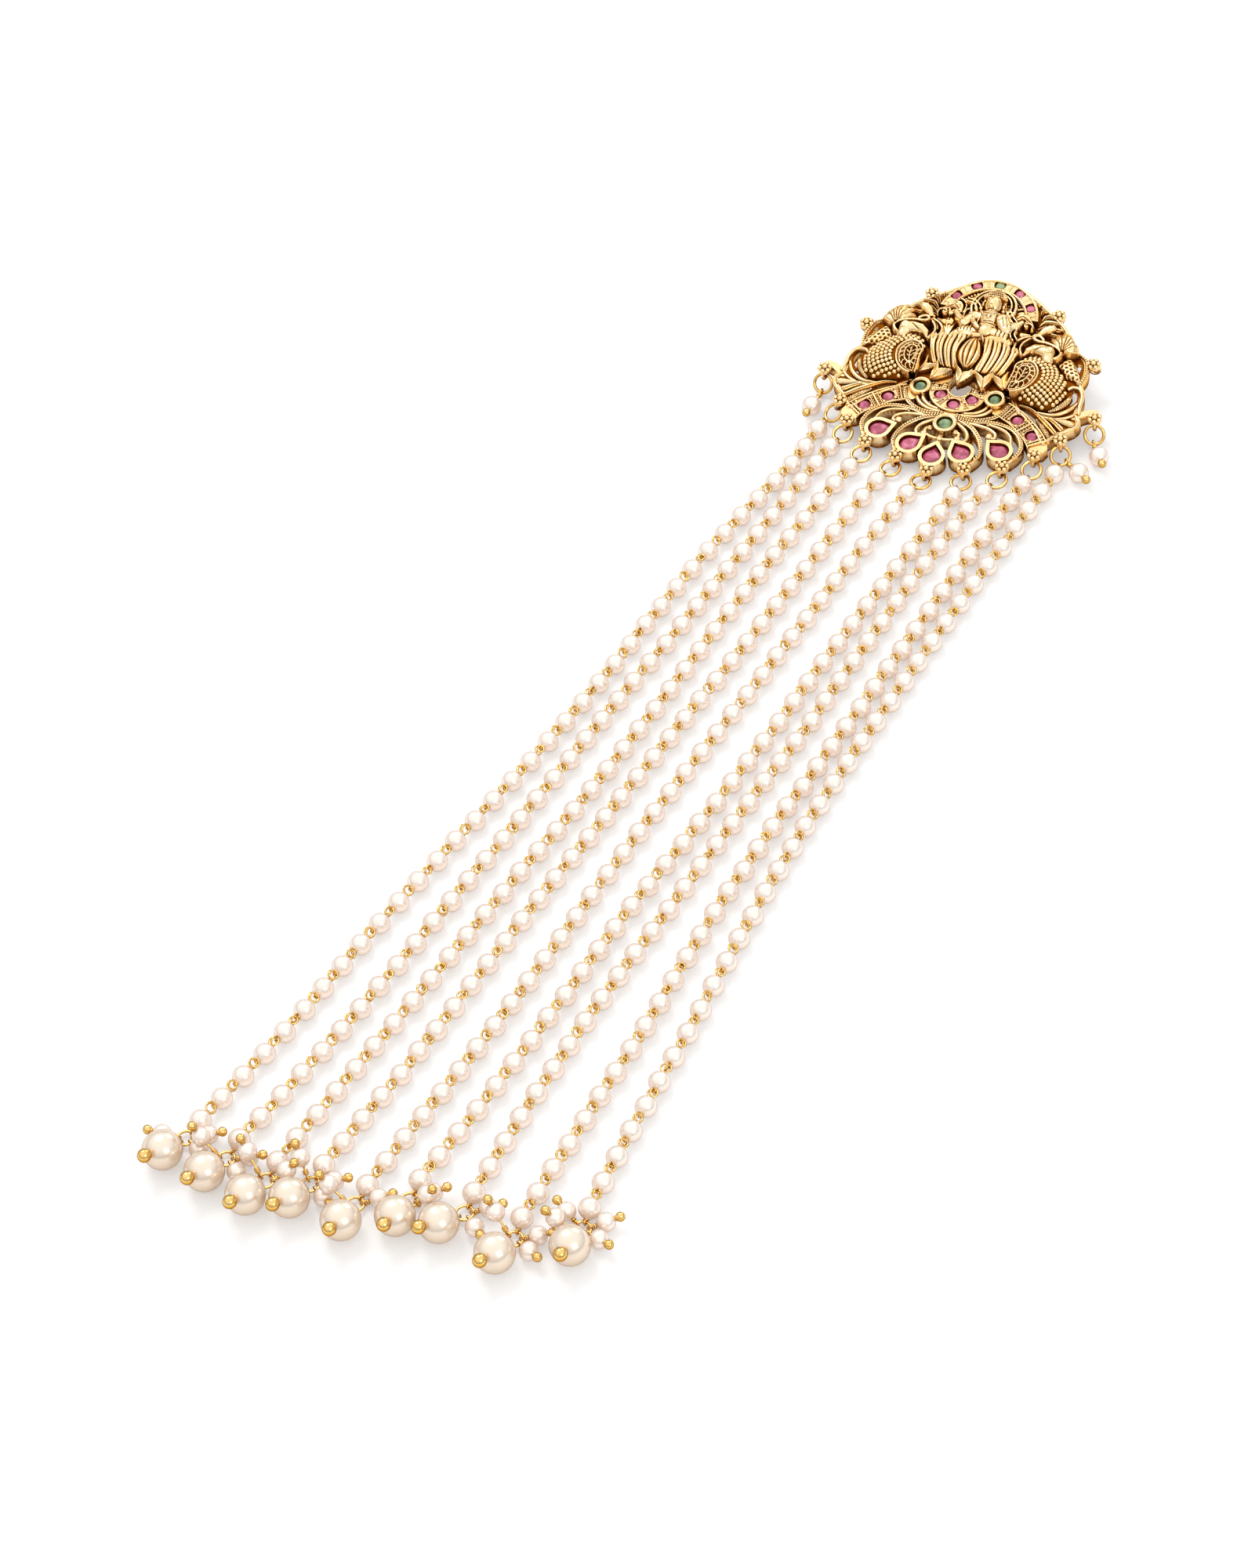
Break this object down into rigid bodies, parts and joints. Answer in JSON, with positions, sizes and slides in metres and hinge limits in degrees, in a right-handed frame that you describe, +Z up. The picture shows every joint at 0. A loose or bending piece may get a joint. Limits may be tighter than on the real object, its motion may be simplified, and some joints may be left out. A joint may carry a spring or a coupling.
{
  "type": "hair brooch",
  "caption": "Temple-style hair brooch: a pierced gold plaque with stones, a lotus throne, peacocks and a seated figure, and rows of pearls that hang from rings on its rim to end in clusters",
  "frame": {"origin": "On the surface that the brooch lies on, on the plaque's centre line, between the prongs of its fork, a little above the stones that hang lowest on the plaque.", "axes": "+Z up from the surface through the plaque's front, +Y up along the plaque from the strands to the arch, +X to the plaque's right as seen from the front."},
  "size_m": [0.1102, 0.265, 0.0142],
  "materials": {
    "antique_gold": "cast and gold-plated, with dark patina in the hollows",
    "bright_gold": "polished gold-plated wire",
    "ruby_pink": "faceted pink stone",
    "leaf_green": "faceted green stone",
    "pearl": "lustrous ivory pearl on gold wire",
    "large_pearl": "lustrous cream pearl",
    "cluster_findings": "polished gold-plated pins and rings that carry small ivory pearls"
  },
  "bodies": {
    "root": {"plaque": "antique_gold", "arch": "antique_gold", "peacock_left": "antique_gold", "peacock_right": "antique_gold", "lotus": "antique_gold", "figure": "antique_gold", "hair_fork": "bright_gold", "jump_rings": "bright_gold", "stone_drop_1": "ruby_pink", "stone_drop_2": "ruby_pink", "stone_drop_3": "ruby_pink", "stone_drop_4": "ruby_pink", "stone_drop_5": "ruby_pink", "stone_green_1": "leaf_green", "stone_green_2": "leaf_green", "stone_green_3": "leaf_green", "stone_crescent_1": "ruby_pink", "stone_crescent_2": "ruby_pink", "stone_crescent_3": "ruby_pink", "stone_band_1": "ruby_pink", "stone_band_2": "ruby_pink", "stone_band_3": "ruby_pink", "stone_band_4": "ruby_pink", "stone_arch_1": "ruby_pink", "stone_arch_2": "ruby_pink", "stone_arch_3": "leaf_green", "stone_arch_4": "ruby_pink", "stone_arch_5": "ruby_pink", "strand_1": "pearl", "strand_2": "pearl", "strand_3": "pearl", "strand_4": "pearl", "strand_5": "pearl", "strand_6": "pearl", "strand_7": "pearl", "strand_8": "pearl", "strand_9": "pearl", "large_pearl_1": "large_pearl", "large_pearl_2": "large_pearl", "large_pearl_3": "large_pearl", "large_pearl_4": "large_pearl", "large_pearl_5": "large_pearl", "large_pearl_6": "large_pearl", "large_pearl_7": "large_pearl", "large_pearl_8": "large_pearl", "large_pearl_9": "large_pearl", "cluster_1": "cluster_findings", "cluster_2": "cluster_findings", "cluster_3": "cluster_findings", "cluster_4": "cluster_findings", "cluster_5": "cluster_findings", "cluster_6": "cluster_findings", "cluster_7": "cluster_findings", "cluster_8": "cluster_findings", "cluster_9": "cluster_findings", "drop_left": "cluster_findings", "drop_right": "cluster_findings"}
  },
  "joints": []
}
